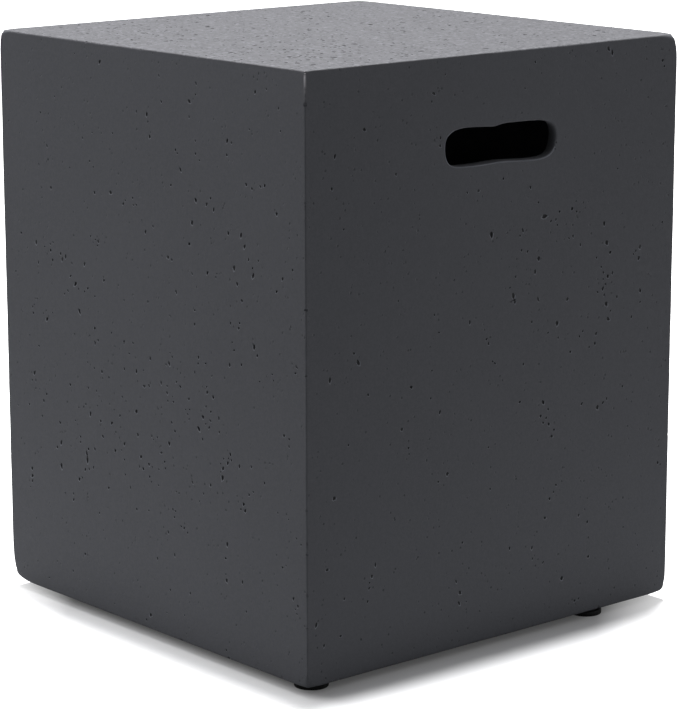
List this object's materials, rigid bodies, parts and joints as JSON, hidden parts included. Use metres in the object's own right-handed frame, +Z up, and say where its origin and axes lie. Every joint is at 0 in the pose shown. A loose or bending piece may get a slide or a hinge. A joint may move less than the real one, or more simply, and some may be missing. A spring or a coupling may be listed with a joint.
{
  "type": "propane tank cover table",
  "caption": "Square cast patio side table, open below and hollow to hide a gas cylinder, with hand slots, a hose notch and low levelling feet.",
  "frame": {"origin": "on the ground below the middle of the table", "axes": "+Z up; -Y the plain front; +X and -X the walls with a hand slot; +Y the back with the hose notch"},
  "size_m": [0.419, 0.419, 0.508],
  "materials": {
    "casting": "matt dark charcoal fibre-reinforced cement with small surface pits",
    "fittings": "dull zinc-plated steel",
    "pads": "matt black moulded nylon"
  },
  "bodies": {
    "cover": {"shell": "casting", "front_right_nut": "fittings", "back_right_nut": "fittings", "back_left_nut": "fittings", "front_left_nut": "fittings"},
    "pad_front_right": {"front_right_pad": "pads"},
    "stud_front_right": {"front_right_stud": "fittings"},
    "pad_back_right": {"back_right_pad": "pads"},
    "stud_back_right": {"back_right_stud": "fittings"},
    "pad_back_left": {"back_left_pad": "pads"},
    "stud_back_left": {"back_left_stud": "fittings"},
    "pad_front_left": {"front_left_pad": "pads"},
    "stud_front_left": {"front_left_stud": "fittings"}
  },
  "joints": [
    {"name": "front_right_height", "type": "slide", "parent": "cover", "child": "pad_front_right", "axis": [0, 0, -1], "range_m": [0, 0.01]},
    {"name": "front_right_screw", "type": "hinge", "parent": "pad_front_right", "child": "stud_front_right", "pos_m": [0.184, -0.184, 0], "axis": [0, 0, -1], "range_deg": [0, 2880]},
    {"name": "back_right_height", "type": "slide", "parent": "cover", "child": "pad_back_right", "axis": [0, 0, -1], "range_m": [0, 0.01]},
    {"name": "back_right_screw", "type": "hinge", "parent": "pad_back_right", "child": "stud_back_right", "pos_m": [0.1895, 0.1275, 0], "axis": [0, 0, -1], "range_deg": [0, 2880]},
    {"name": "back_left_height", "type": "slide", "parent": "cover", "child": "pad_back_left", "axis": [0, 0, -1], "range_m": [0, 0.01]},
    {"name": "back_left_screw", "type": "hinge", "parent": "pad_back_left", "child": "stud_back_left", "pos_m": [-0.184, 0.184, 0], "axis": [0, 0, -1], "range_deg": [0, 2880]},
    {"name": "front_left_height", "type": "slide", "parent": "cover", "child": "pad_front_left", "axis": [0, 0, -1], "range_m": [0, 0.01]},
    {"name": "front_left_screw", "type": "hinge", "parent": "pad_front_left", "child": "stud_front_left", "pos_m": [-0.1895, -0.1275, 0], "axis": [0, 0, -1], "range_deg": [0, 2880]}
  ],
  "couplings": [
    {"joint": "front_right_screw", "follows": "front_right_height", "rad_per_m": 5026.5},
    {"joint": "back_right_screw", "follows": "back_right_height", "rad_per_m": 5026.5},
    {"joint": "back_left_screw", "follows": "back_left_height", "rad_per_m": 5026.5},
    {"joint": "front_left_screw", "follows": "front_left_height", "rad_per_m": 5026.5}
  ]
}
